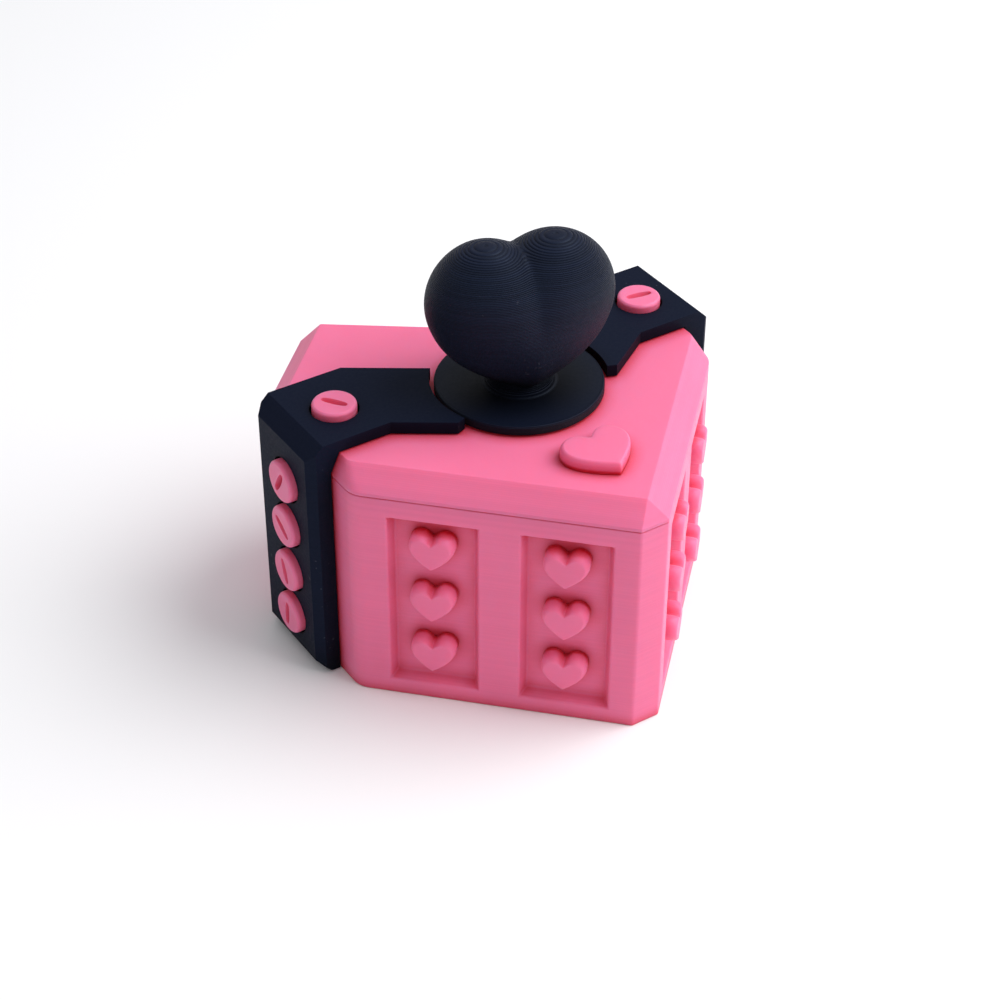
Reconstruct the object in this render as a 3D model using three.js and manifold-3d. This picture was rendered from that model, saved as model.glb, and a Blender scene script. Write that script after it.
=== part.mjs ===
// Heart-shaped screw box: a printed box and lid held shut by two corner straps and ten slotted bolts,
// with an inflated heart as the centre knob. Millimetres, +Z up, origin at the bottom centre of the
// bounding box. The front wall faces -Y and the side wall faces +X; they meet at the heart's point.

import * as THREE from 'three';
import { mergeVertices } from 'three/addons/utils/BufferGeometryUtils.js';
import Module from 'manifold-3d';

const wasm = await Module();
wasm.setup();

// ---- driving dimensions -------------------------------------------------------------------------

const SPAN = 77.5; // from the point's wall to the outer wall of the opposite lobe
const HEIGHT = 49; // table to the lid's flat top
const STRAIGHT = 55.6; // straight length of the front and side walls, from the point
const LOBE_END = 49; // where a lobe's outer wall ends, measured like STRAIGHT across the lobe
const CLEFT = 53; // x and y distance of the cleft from the point
const CHAMFER_IN = 3.9; // lid chamfer, horizontal
const CHAMFER_DOWN = 3.9; // lid chamfer, vertical
const FACET_CHAMFER_IN = 1.7; // the same, over the bolt corners
const CORNER_LEG = 4.1; // chamfer on the vertical edges
const FACET_SETBACK = 2; // rounding where a bolt corner meets the walls
const WALL = 6.2;
const FLOOR = 3;
const BOLT_CORNER = 12; // solid depth behind each bolt corner
const GAP = 0.3; // clearance between neighbouring pieces
const LID_BAND = 0.4; // upright rim under the lid's chamfer
const PLUG_DEPTH = 3;

const PANEL_WIDTH = 16.6;
const PANEL_LOW = 3.3;
const PANEL_HIGH = 40.5;
const PANEL_DEPTH = 2.2;
const PANEL_SLOPE = 1; // how far a panel's sides lean inwards on the way down
const PANEL_CENTRES = [17, 41.1]; // distance from the point along the wall
const STUD_HEIGHTS = [10.9, 22.6, 34.3];
const STUD_WIDTH = 8.4;
const STUD_PROUD = 1.6;
const PEG_RADIUS = 1.5;
const PEG_LENGTH = 1.5;

const STRAP_FRONT = 9.2; // from the bolts to the strap's edge on the point's side
const STRAP_BACK = 10.8; // and on the cleft's side
const STRAP_THICK = 2.4;
const COLUMN_THICK = 4.4;
const COLUMN_FOOT = 0.4;
const STRAP_BEVEL = 3;
const FOOT_BEVEL = 2.6;
const SIDE_BEVEL = 1.5;
const ARM_BEND = THREE.MathUtils.degToRad(33.3);
const ARM_BEND_INSET = 12.7; // from the box's bolt corner to the arm's bend
const ARM_BEND_SKEW = 0.65; // the bend line is slightly oblique
const ARM_FRONT_REACH = 12;
const ARM_BACK_REACH = 19;

const HEAD_RADIUS = 4.1;
const HEAD_HEIGHT = 2.6;
const HEAD_CHAMFER = 0.6;
const HEAD_PROUD = 1.4;
const SHANK_RADIUS = 2.8;
const SHANK_LENGTH = 8.4;
const TOP_SHANK_LENGTH = 5.4; // the top bolts end inside the lid
const COUNTERBORE_RADIUS = 4.5;
const SLOT_LENGTH = 5.4;
const SLOT_WIDTH = 1.5;
const SLOT_DEPTH = 1.4;
const BOLT_HEIGHTS = [40, 29.9, 19.7, 9.7];
const TOP_BOLT_INSET = 5.9; // from the box's bolt corner to the top bolt
const SLOT_ANGLES_LEFT = [59, -35, -73, -95];
const SLOT_ANGLES_RIGHT = [20, 75, -50, 8];
const TOP_SLOT_ANGLES = [-10, 35];

const KNOB_CENTRE = 32.2; // x and y distance of the knob from the point
const FLANGE_RADIUS = 15.6;
const FLANGE_THICK = 2;
const ARC_CLEARANCE = 0.9; // between the flange and the strap arms
const KNOB_HEART_WIDTH = 35.1;
const KNOB_HEART_DEPTH = 23;
const KNOB_HEART_HEIGHT = 29.3;
const KNOB_HEART_SINK = 0.2; // how far its tip is sunk into the flange
const HEART_NOTCH = 0.003;
const HEART_DRAW = 1.6;
const HEART_TAPER = 0.62;
const KNOB_NECK_RADIUS = 5.6;
const KNOB_NECK_HEIGHT = 4;
const KNOB_TURN = THREE.MathUtils.degToRad(31.5);
const KNOB_SHANK_RADIUS = 5;
const KNOB_SHANK_REACH = 9;
const ROUND_STEPS = 20;

const LID_HEART_WIDTH = 13.4;
const LID_HEART_THICK = 2.4;
const LID_HEART_PLACE = 13.6;

const BODY_TOP = HEIGHT - CHAMFER_DOWN - LID_BAND - GAP;
const LID_BOTTOM = BODY_TOP + GAP;
const STRAP_TOP = HEIGHT + GAP + STRAP_THICK;
const FACET_OFFSET = STRAIGHT / Math.SQRT2; // bolt corner's distance from the heart's centre plane
const FACET_MIDDLE = -SPAN / Math.SQRT2; // its middle along that plane
const COLUMN_FACE = FACET_OFFSET + GAP + COLUMN_THICK;

// ---- materials ----------------------------------------------------------------------------------

const pink = new THREE.MeshStandardMaterial({ color: 0xf4819f, roughness: 0.55, metalness: 0 });
const deepPink = new THREE.MeshStandardMaterial({ color: 0xef7896, roughness: 0.5, metalness: 0 });
const black = new THREE.MeshStandardMaterial({ color: 0x141720, roughness: 0.5, metalness: 0 });

// ---- solids -------------------------------------------------------------------------------------

function toSolid(geometry, matrix = new THREE.Matrix4()) {
  const bare = geometry.clone().applyMatrix4(matrix);
  bare.deleteAttribute('normal');
  bare.deleteAttribute('uv');
  const merged = mergeVertices(bare, 1e-4);
  return new wasm.Manifold(
    new wasm.Mesh({
      numProp: 3,
      vertProperties: new Float32Array(merged.attributes.position.array),
      triVerts: new Uint32Array(merged.index.array),
    }),
  );
}

function toGeometry(solid) {
  const mesh = solid.getMesh();
  const geometry = new THREE.BufferGeometry();
  geometry.setAttribute('position', new THREE.BufferAttribute(mesh.vertProperties, 3));
  geometry.setIndex(new THREE.BufferAttribute(mesh.triVerts, 1));
  geometry.computeVertexNormals();
  return geometry;
}

function prism(points, low, high) {
  const geometry = new THREE.ExtrudeGeometry(new THREE.Shape(points), {
    depth: high - low,
    bevelEnabled: false,
    curveSegments: ROUND_STEPS,
  });
  return toSolid(geometry, new THREE.Matrix4().makeTranslation(0, 0, low));
}

// A closed skin from one ring to another with the same number of points; repeated points are allowed.
function loft(lower, low, upper, high) {
  const count = lower.length;
  const positions = [];
  lower.forEach((p) => positions.push(p.x, p.y, low));
  upper.forEach((p) => positions.push(p.x, p.y, high));
  const index = [];
  for (let i = 0; i < count; i++) {
    const next = (i + 1) % count;
    index.push(i, next, count + next);
    if (upper[i].distanceTo(upper[next]) > 1e-3) index.push(i, count + next, count + i);
  }
  THREE.ShapeUtils.triangulateShape(lower, []).forEach(([a, b, c]) => index.push(a, c, b));
  const keep = upper.map((p, i) => i).filter((i) => upper[i].distanceTo(upper[(i + 1) % count]) > 1e-3);
  const cap = THREE.ShapeUtils.triangulateShape(keep.map((i) => upper[i]), []);
  cap.forEach(([a, b, c]) => index.push(count + keep[a], count + keep[b], count + keep[c]));
  const geometry = new THREE.BufferGeometry();
  geometry.setAttribute('position', new THREE.Float32BufferAttribute(positions, 3));
  geometry.setIndex(index);
  return toSolid(geometry);
}

function cylinder(radius, low, high, steps = ROUND_STEPS) {
  const geometry = new THREE.CylinderGeometry(radius, radius, high - low, steps);
  const upright = new THREE.Matrix4().makeRotationX(Math.PI / 2);
  const lifted = new THREE.Matrix4().makeTranslation(0, 0, (low + high) / 2);
  return toSolid(geometry, lifted.multiply(upright));
}

// Places a solid made along local +Z so that +Z points along `axis` from `place`.
function placed(solid, place, axis, up = new THREE.Vector3(0, 0, 1)) {
  const across = new THREE.Vector3().crossVectors(up, axis).normalize();
  const matrix = new THREE.Matrix4().makeBasis(across, up, axis).setPosition(place);
  return solid.transform(matrix.elements);
}

// ---- outlines -----------------------------------------------------------------------------------

const point2 = (x, y) => new THREE.Vector2(x, y);
const mirrored = (p) => point2(-p.y, -p.x);

const leftHalf = [
  point2(-SPAN, LOBE_END),
  point2(-SPAN, SPAN - STRAIGHT),
  point2(-STRAIGHT, 0),
];
// Counter-clockwise: point, right-hand lobe, cleft, left-hand lobe.
const sharpOutline = [
  point2(0, 0),
  ...leftHalf.map(mirrored).reverse(),
  point2(-CLEFT, CLEFT),
  ...leftHalf,
];

// Moves each edge inwards by its own distance and returns the new corners.
function inset(points, distances) {
  const count = points.length;
  const lines = points.map((p, i) => {
    const along = points[(i + 1) % count].clone().sub(p).normalize();
    const inward = point2(-along.y, along.x);
    return { start: p.clone().addScaledVector(inward, distances[i]), along };
  });
  return points.map((_, i) => {
    const before = lines[(i + count - 1) % count];
    const after = lines[i];
    const gap = after.start.clone().sub(before.start);
    const reach = gap.cross(after.along) / before.along.cross(after.along);
    return before.start.clone().addScaledVector(before.along, reach);
  });
}

// Cuts or rounds each corner: legs gives the setback at each corner, steps the points of its curve.
function softened(points, setbacks, steps) {
  const count = points.length;
  return points.flatMap((p, i) => {
    if (steps[i] === 0) return [p];
    const toPrevious = points[(i + count - 1) % count].clone().sub(p).normalize();
    const toNext = points[(i + 1) % count].clone().sub(p).normalize();
    const start = p.clone().addScaledVector(toPrevious, setbacks[i]);
    const end = p.clone().addScaledVector(toNext, setbacks[i]);
    const curve = new THREE.QuadraticBezierCurve(start, p, end);
    return steps[i] === 1 ? [start, end] : curve.getPoints(steps[i]);
  });
}

// Corner treatment in outline order: point, straight end, facet end, lobe corner, cleft, and back.
const wallSetbacks = [
  CORNER_LEG, FACET_SETBACK, FACET_SETBACK, CORNER_LEG, 0, CORNER_LEG, FACET_SETBACK, FACET_SETBACK,
];
const cornerSteps = [1, 4, 4, 1, 0, 1, 4, 4];
const facetEdges = [1, 6];
const perEdge = (facet, other) => sharpOutline.map((_, i) => (facetEdges.includes(i) ? facet : other));
const wallOutline = softened(sharpOutline, wallSetbacks, cornerSteps);
const creaseSharp = inset(sharpOutline, perEdge(FACET_CHAMFER_IN, CHAMFER_IN));
const creaseSetbacks = [0, 1, 1, 0, 0, 0, 1, 1];
const creaseOutline = softened(creaseSharp, creaseSetbacks, cornerSteps);

const cavityOutline = inset(sharpOutline, perEdge(BOLT_CORNER, WALL));
const plugOutline = inset(cavityOutline, cavityOutline.map(() => GAP + 0.1));

// A heart of the given width, its point down, centred on its own box.
function heartShape(width) {
  const w = width / 2;
  const shape = new THREE.Shape();
  shape.moveTo(0, -0.86 * w);
  shape.bezierCurveTo(0.16 * w, -0.74 * w, 1.0 * w, -0.2 * w, 1.0 * w, 0.3 * w);
  shape.bezierCurveTo(1.0 * w, 0.66 * w, 0.76 * w, 0.86 * w, 0.5 * w, 0.86 * w);
  shape.bezierCurveTo(0.26 * w, 0.86 * w, 0.08 * w, 0.74 * w, 0, 0.54 * w);
  shape.bezierCurveTo(-0.08 * w, 0.74 * w, -0.26 * w, 0.86 * w, -0.5 * w, 0.86 * w);
  shape.bezierCurveTo(-0.76 * w, 0.86 * w, -1.0 * w, 0.66 * w, -1.0 * w, 0.3 * w);
  shape.bezierCurveTo(-1.0 * w, -0.2 * w, -0.16 * w, -0.74 * w, 0, -0.86 * w);
  return shape;
}

// A raised heart with a rounded edge, standing on z = 0, with a locating peg below.
function raisedHeart(width, thickness, edge) {
  const geometry = new THREE.ExtrudeGeometry(heartShape(width - 2 * edge), {
    depth: thickness - edge,
    bevelEnabled: true,
    bevelThickness: edge,
    bevelSize: edge,
    bevelOffset: 0,
    bevelSegments: 2,
    curveSegments: 4,
  });
  const block = toSolid(geometry);
  const floorCut = toSolid(new THREE.BoxGeometry(4 * width, 4 * width, 4 * edge));
  const standing = block.subtract(floorCut.translate([0, 0, -2 * edge]));
  return standing.add(cylinder(PEG_RADIUS, -PEG_LENGTH, 0.2, 16));
}

// ---- wall frames --------------------------------------------------------------------------------

// Each decorated wall: `along` runs from the point along the wall, `outward` is its normal.
const walls = {
  front: { along: new THREE.Vector3(-1, 0, 0), outward: new THREE.Vector3(0, -1, 0) },
  side: { along: new THREE.Vector3(0, 1, 0), outward: new THREE.Vector3(1, 0, 0) },
};

function onWall(wall, distance, height, outset) {
  return wall.along.clone().multiplyScalar(distance).addScaledVector(wall.outward, outset).setZ(height);
}

// The heart frame: +X runs from the cleft to the point, so the two lobes mirror each other in Y.
const heartTurn = -Math.PI / 4;
const toTipFrame = new THREE.Matrix4().makeRotationZ(heartTurn);
const lobes = { left: -1, right: 1 };

// Bolt places in the heart frame, with the way each head faces.
function boltPlaces(sign) {
  const headSeat = COLUMN_FACE + HEAD_PROUD - HEAD_HEIGHT;
  const column = BOLT_HEIGHTS.map((height) => ({
    place: new THREE.Vector3(FACET_MIDDLE, sign * headSeat, height),
    axis: new THREE.Vector3(0, sign, 0),
  }));
  const top = {
    place: new THREE.Vector3(
      FACET_MIDDLE,
      sign * (FACET_OFFSET - TOP_BOLT_INSET),
      STRAP_TOP + HEAD_PROUD - HEAD_HEIGHT,
    ),
    axis: new THREE.Vector3(0, 0, 1),
  };
  return { column, top };
}

function boltCut(radius, low, high, { place, axis }) {
  const up = axis.z === 1 ? new THREE.Vector3(0, 1, 0) : new THREE.Vector3(0, 0, 1);
  return placed(cylinder(radius, low, high), place, axis, up);
}

// ---- pieces -------------------------------------------------------------------------------------

// A recess with leaning sides, cut down from the wall at local z = 0.
function panelRecess() {
  const rectangle = (grow) => {
    const x = PANEL_WIDTH / 2 + grow;
    const y = (PANEL_HIGH - PANEL_LOW) / 2 + grow;
    return [point2(-x, -y), point2(x, -y), point2(x, y), point2(-x, y)];
  };
  return loft(rectangle(-PANEL_SLOPE), -PANEL_DEPTH, rectangle(PANEL_SLOPE), PANEL_DEPTH);
}

function boxBody() {
  let solid = prism(wallOutline, 0, BODY_TOP).subtract(prism(cavityOutline, FLOOR, BODY_TOP + 1));
  for (const wall of Object.values(walls)) {
    for (const centre of PANEL_CENTRES) {
      const middle = onWall(wall, centre, (PANEL_HIGH + PANEL_LOW) / 2, 0);
      solid = solid.subtract(placed(panelRecess(), middle, wall.outward));
      for (const height of STUD_HEIGHTS) {
        const hole = cylinder(PEG_RADIUS + GAP, -PEG_LENGTH - 2 * GAP, 1, 12);
        solid = solid.subtract(placed(hole, onWall(wall, centre, height, -PANEL_DEPTH), wall.outward));
      }
    }
  }
  for (const sign of Object.values(lobes)) {
    for (const bolt of boltPlaces(sign).column) {
      const hole = boltCut(SHANK_RADIUS + GAP, -SHANK_LENGTH - GAP, HEAD_HEIGHT, bolt);
      solid = solid.subtract(hole.transform(toTipFrame.elements));
    }
  }
  return solid;
}

function lid() {
  const chamferLow = HEIGHT - CHAMFER_DOWN;
  let solid = prism(wallOutline, LID_BOTTOM, chamferLow);
  solid = solid.add(loft(wallOutline, chamferLow, creaseOutline, HEIGHT));
  solid = solid.add(prism(plugOutline, LID_BOTTOM - PLUG_DEPTH, LID_BOTTOM + 0.1));
  for (const sign of Object.values(lobes)) {
    const hole = boltCut(SHANK_RADIUS + GAP, -SHANK_LENGTH, HEAD_HEIGHT, boltPlaces(sign).top);
    solid = solid.subtract(hole.transform(toTipFrame.elements));
  }
  const shankHole = cylinder(KNOB_SHANK_RADIUS + GAP, 0, HEIGHT + 1);
  solid = solid.subtract(shankHole.translate([-KNOB_CENTRE, KNOB_CENTRE, 0]));
  const pegHole = cylinder(PEG_RADIUS + GAP, HEIGHT - PEG_LENGTH - GAP, HEIGHT + 1, 12);
  return solid.subtract(pegHole.translate([-LID_HEART_PLACE, LID_HEART_PLACE, 0]));
}

// One strap in the heart frame, drawn for the lobe on the -Y side and mirrored for the other.
function strap(sign) {
  const back = FACET_MIDDLE - STRAP_BACK;
  const front = FACET_MIDDLE + STRAP_FRONT;
  const under = HEIGHT + GAP;
  const bendY = -(FACET_OFFSET - ARM_BEND_INSET);
  // Side view of the column and the wide part of the arm: x is Y in the heart frame, y is Z.
  const profile = [
    point2(-(FACET_OFFSET + GAP), COLUMN_FOOT),
    point2(-(FACET_OFFSET + GAP), HEIGHT - CHAMFER_DOWN + GAP / 2),
    point2(-(FACET_OFFSET - FACET_CHAMFER_IN + GAP / 2), under),
    point2(bendY - ARM_BEND_SKEW, under),
    point2(bendY - ARM_BEND_SKEW, STRAP_TOP),
    point2(-(COLUMN_FACE - STRAP_BEVEL), STRAP_TOP),
    point2(-COLUMN_FACE, STRAP_TOP - STRAP_BEVEL),
    point2(-COLUMN_FACE, COLUMN_FOOT + FOOT_BEVEL),
    point2(-(COLUMN_FACE - FOOT_BEVEL), COLUMN_FOOT),
  ];
  // Extruded along local +Z, which is then laid along the heart frame's X.
  const across = new THREE.Matrix4().makeBasis(
    new THREE.Vector3(0, 1, 0),
    new THREE.Vector3(0, 0, 1),
    new THREE.Vector3(1, 0, 0),
  );
  let solid = prism(profile.reverse(), back, front).transform(across.elements);
  // Plan limits: the bevelled upright edges of the column.
  const plan = [
    point2(back, 0),
    point2(back, -(COLUMN_FACE - SIDE_BEVEL)),
    point2(back + SIDE_BEVEL, -COLUMN_FACE),
    point2(front - SIDE_BEVEL, -COLUMN_FACE),
    point2(front, -(COLUMN_FACE - SIDE_BEVEL)),
    point2(front, 0),
  ];
  solid = solid.intersect(prism(plan, 0, STRAP_TOP));
  // The arm's bent inner length, cut round the flange.
  const direction = point2(Math.sin(ARM_BEND), Math.cos(ARM_BEND));
  const backStart = point2(back, bendY + ARM_BEND_SKEW);
  const frontStart = point2(front, bendY - ARM_BEND_SKEW);
  const knobX = -KNOB_CENTRE * Math.SQRT2;
  const arm = [
    point2(back, bendY - 3),
    point2(front, bendY - 3),
    frontStart,
    frontStart.clone().addScaledVector(direction, ARM_FRONT_REACH),
    point2(knobX, 0),
    backStart.clone().addScaledVector(direction, ARM_BACK_REACH),
    backStart,
  ];
  const flangeCut = cylinder(FLANGE_RADIUS + ARC_CLEARANCE, HEIGHT, STRAP_TOP + 1, 72).translate([knobX, 0, 0]);
  solid = solid.add(prism(arm, under, STRAP_TOP).subtract(flangeCut));
  const { column, top } = boltPlaces(-1);
  for (const bolt of [...column, top]) {
    solid = solid.subtract(boltCut(SHANK_RADIUS + GAP, -SHANK_LENGTH, GAP, bolt));
    solid = solid.subtract(boltCut(COUNTERBORE_RADIUS, -GAP, HEAD_HEIGHT, bolt));
  }
  return sign < 0 ? solid : solid.mirror([0, 1, 0]);
}

function bolt(shankLength) {
  const outline = [
    point2(0, -shankLength),
    point2(SHANK_RADIUS - 0.8, -shankLength),
    point2(SHANK_RADIUS, -shankLength + 0.8),
    point2(SHANK_RADIUS, 0),
    point2(HEAD_RADIUS, 0),
    point2(HEAD_RADIUS, HEAD_HEIGHT - HEAD_CHAMFER),
    point2(HEAD_RADIUS - HEAD_CHAMFER, HEAD_HEIGHT),
    point2(0, HEAD_HEIGHT),
  ];
  const upright = new THREE.Matrix4().makeRotationX(Math.PI / 2);
  const turned = toSolid(new THREE.LatheGeometry(outline, ROUND_STEPS), upright);
  const slot = new THREE.Shape();
  const straight = (SLOT_LENGTH - SLOT_WIDTH) / 2;
  slot.absarc(straight, 0, SLOT_WIDTH / 2, -Math.PI / 2, Math.PI / 2, false);
  slot.absarc(-straight, 0, SLOT_WIDTH / 2, Math.PI / 2, 1.5 * Math.PI, false);
  return turned.subtract(prism(slot.getPoints(5), HEAD_HEIGHT - SLOT_DEPTH, HEAD_HEIGHT + 1));
}

// Inflated heart: (x^2 + 9/4 y^2 + z^2 - 1)^3 = k (x^2 + notch) / (1 + draw x^2) z^3, found along rays.
// The notch term rounds the saddle between the lobes, draw brings their tops closer together, and k is
// smaller below the middle for a full lower half.
function inflatedHeart(detail) {
  const inside = (x, y, z) => {
    const pull = (z > 0 ? 1 : HEART_TAPER) / (1 + HEART_DRAW * x * x);
    return (x * x + 2.25 * y * y + z * z - 1) ** 3 < pull * (x * x + HEART_NOTCH) * z ** 3;
  };
  const ball = mergeBare(new THREE.IcosahedronGeometry(1, detail));
  const position = ball.attributes.position;
  const ray = new THREE.Vector3();
  for (let i = 0; i < position.count; i++) {
    ray.fromBufferAttribute(position, i).normalize();
    let near = 0.3;
    let far = 2;
    for (let step = 0; step < 30; step++) {
      const middle = (near + far) / 2;
      if (inside(ray.x * middle, ray.y * middle, ray.z * middle)) near = middle;
      else far = middle;
    }
    position.setXYZ(i, ray.x * near, ray.y * near, ray.z * near);
  }
  return ball;
}

function mergeBare(geometry) {
  geometry.deleteAttribute('normal');
  geometry.deleteAttribute('uv');
  return mergeVertices(geometry, 1e-4);
}

// The knob in its own frame: axis on Z, flange underside at z = 0.
function heartKnob() {
  const heart = inflatedHeart(7);
  heart.computeBoundingBox();
  const box = heart.boundingBox;
  heart.scale(
    KNOB_HEART_WIDTH / (box.max.x - box.min.x),
    KNOB_HEART_DEPTH / (box.max.y - box.min.y),
    KNOB_HEART_HEIGHT / (box.max.z - box.min.z),
  );
  heart.computeBoundingBox();
  heart.rotateZ(KNOB_TURN);
  heart.translate(0, 0, FLANGE_THICK - KNOB_HEART_SINK - heart.boundingBox.min.z);
  const outline = [
    point2(0, -KNOB_SHANK_REACH - GAP),
    point2(KNOB_SHANK_RADIUS - 1, -KNOB_SHANK_REACH - GAP),
    point2(KNOB_SHANK_RADIUS, -KNOB_SHANK_REACH - GAP + 1),
    point2(KNOB_SHANK_RADIUS, 0),
    point2(FLANGE_RADIUS, 0),
    point2(FLANGE_RADIUS, FLANGE_THICK),
    point2(KNOB_NECK_RADIUS + 1.6, FLANGE_THICK),
    point2(KNOB_NECK_RADIUS, FLANGE_THICK + 1.6),
    point2(KNOB_NECK_RADIUS, FLANGE_THICK + KNOB_NECK_HEIGHT),
    point2(0, FLANGE_THICK + KNOB_NECK_HEIGHT),
  ];
  const upright = new THREE.Matrix4().makeRotationX(Math.PI / 2);
  const stem = toSolid(new THREE.LatheGeometry(outline, 48), upright);
  return stem.add(toSolid(heart));
}

// ---- assembly -----------------------------------------------------------------------------------

function mesh(name, solid, material) {
  const piece = new THREE.Mesh(toGeometry(solid), material);
  piece.name = name;
  return piece;
}

const tipFrame = new THREE.Group();
const heartFrame = new THREE.Group();
heartFrame.rotation.z = heartTurn;
tipFrame.add(heartFrame);

tipFrame.add(mesh('box_body', boxBody(), pink));
tipFrame.add(mesh('lid', lid(), pink));

const columnBolt = bolt(SHANK_LENGTH);
const topBolt = bolt(TOP_SHANK_LENGTH);
for (const [side, sign] of Object.entries(lobes)) {
  heartFrame.add(mesh(`strap_${side}`, strap(sign), black));
  const { column, top } = boltPlaces(sign);
  const angles = side === 'left' ? SLOT_ANGLES_LEFT : SLOT_ANGLES_RIGHT;
  column.forEach(({ place }, i) => {
    const piece = mesh(`bolt_${side}_${i + 1}`, columnBolt, deepPink);
    const facing = new THREE.Matrix4().makeBasis(
      new THREE.Vector3(-sign, 0, 0),
      new THREE.Vector3(0, 0, 1),
      new THREE.Vector3(0, sign, 0),
    );
    const turn = new THREE.Matrix4().makeRotationZ(THREE.MathUtils.degToRad(angles[i]));
    piece.quaternion.setFromRotationMatrix(facing.multiply(turn));
    piece.position.copy(place);
    heartFrame.add(piece);
  });
  const topPiece = mesh(`bolt_${side}_top`, topBolt, deepPink);
  const topAngle = TOP_SLOT_ANGLES[side === 'left' ? 0 : 1];
  topPiece.rotation.z = THREE.MathUtils.degToRad(topAngle) - heartTurn;
  topPiece.position.copy(top.place);
  heartFrame.add(topPiece);
}

const knob = mesh('heart_knob', heartKnob(), black);
knob.position.set(-KNOB_CENTRE, KNOB_CENTRE, HEIGHT + GAP);
tipFrame.add(knob);

const studSolid = raisedHeart(STUD_WIDTH, PANEL_DEPTH + STUD_PROUD - GAP, 1);
for (const [wallName, wall] of Object.entries(walls)) {
  PANEL_CENTRES.forEach((centre, column) => {
    STUD_HEIGHTS.forEach((height, row) => {
      const stud = mesh(`stud_${wallName}_${column + 1}_${row + 1}`, studSolid, pink);
      const up = new THREE.Vector3(0, 0, 1);
      const across = new THREE.Vector3().crossVectors(up, wall.outward);
      stud.quaternion.setFromRotationMatrix(new THREE.Matrix4().makeBasis(across, up, wall.outward));
      stud.position.copy(onWall(wall, centre, height, GAP - PANEL_DEPTH));
      tipFrame.add(stud);
    });
  });
}

const lidHeart = mesh('lid_heart', raisedHeart(LID_HEART_WIDTH, LID_HEART_THICK, 0.7), pink);
lidHeart.rotation.z = Math.PI / 4;
lidHeart.position.set(-LID_HEART_PLACE, LID_HEART_PLACE, HEIGHT + GAP);
tipFrame.add(lidHeart);

const centring = (SPAN - STUD_PROUD) / 2;
tipFrame.position.set(centring, -centring, 0);

const screwBox = new THREE.Group();
screwBox.add(tipFrame);

export default screwBox;
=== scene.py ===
import math

import bmesh
import bpy
from mathutils import Euler, Matrix, Vector


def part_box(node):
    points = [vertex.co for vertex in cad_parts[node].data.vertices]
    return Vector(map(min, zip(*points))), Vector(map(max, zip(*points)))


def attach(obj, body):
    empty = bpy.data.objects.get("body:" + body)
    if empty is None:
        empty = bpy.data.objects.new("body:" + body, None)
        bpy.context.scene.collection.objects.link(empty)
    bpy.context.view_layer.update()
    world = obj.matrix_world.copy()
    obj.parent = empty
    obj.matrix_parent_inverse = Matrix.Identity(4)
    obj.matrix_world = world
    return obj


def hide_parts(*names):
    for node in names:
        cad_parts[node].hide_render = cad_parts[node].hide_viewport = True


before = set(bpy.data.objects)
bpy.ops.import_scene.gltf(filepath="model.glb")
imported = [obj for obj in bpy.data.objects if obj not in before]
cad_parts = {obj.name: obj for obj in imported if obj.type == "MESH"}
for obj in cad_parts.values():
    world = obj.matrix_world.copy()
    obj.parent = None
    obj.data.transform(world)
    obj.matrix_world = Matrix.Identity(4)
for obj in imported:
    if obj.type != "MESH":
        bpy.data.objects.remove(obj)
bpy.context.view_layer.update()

MM = 0.001

# ---- the frame's own places ----------------------------------------------------------------------

body_low, body_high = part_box("box_body")
lid_low, lid_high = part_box("lid")
_, strap_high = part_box("strap_left")
POINT = Vector((body_high.x, body_low.y, 0.0))  # foot of the heart's point, where the walls would meet
TO_ROW = Matrix.Translation(POINT) @ Matrix.Scale(MM, 4)  # point frame in millimetres to the row in metres
HEART_TURN = Matrix.Rotation(-math.pi / 4, 4, "Z")  # heart frame (cleft to point on +X) to point frame

SPAN = (body_high.x - body_low.x) / MM
HEIGHT = lid_high.z / MM
BODY_TOP = body_high.z / MM
STRAP_TOP = strap_high.z / MM

# ---- sizes in millimetres ------------------------------------------------------------------------

STRAIGHT = 55.6
LOBE_END = 49.0
CLEFT = 53.0
CHAMFER_IN = 3.9
CHAMFER_DOWN = 3.9
FACET_CHAMFER_IN = 1.7
CORNER_LEG = 4.1
WALL = 6.2
FLOOR = 3.0
BOLT_CORNER = 12.0
GAP = 0.3
PLUG_CLEARANCE = 0.4
PLUG_OVERLAP = 0.2
SEAM = 0.04
FACET_SETBACK = 2.0
CREASE_SETBACK = 1.0
FILLET_STEPS = 8
CASE_EDGE = 0.3
OVERCUT = 1.0  # how far a cutting tool stands past the solid it cuts
WELD = 1e-4  # points of a loft this close become one
SEAM_WELD = 2e-4  # the same for what a boolean leaves
FLAT_ANGLE = math.radians(0.5)  # faces that meet flatter than this become one

PANEL_WIDTH = 16.6
PANEL_LOW = 3.3
PANEL_HIGH = 40.5
PANEL_DEPTH = 2.2
PANEL_SLOPE = 1.0
PANEL_CENTRES = (17.0, 41.1)
STUD_HEIGHTS = (10.9, 22.6, 34.3)
STUD_WIDTH = 8.4
STUD_PROUD = 1.6
STUD_EDGE = 1.5
STUD_LEAN = 0.21
PEG_RADIUS = 1.5
PEG_LENGTH = 1.5
LID_HEART_WIDTH = 13.4
LID_HEART_THICK = 2.4
LID_HEART_PLACE = 13.6
LID_HEART_EDGE = 1.2
LID_HEART_LEAN = 0.11
HEART_STEPS = 12  # points along each of a flat heart's curves
HEART_EDGE_STEPS = 8
HEART_CROWN = 0.05  # rise from a flat heart's edge to its middle

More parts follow.
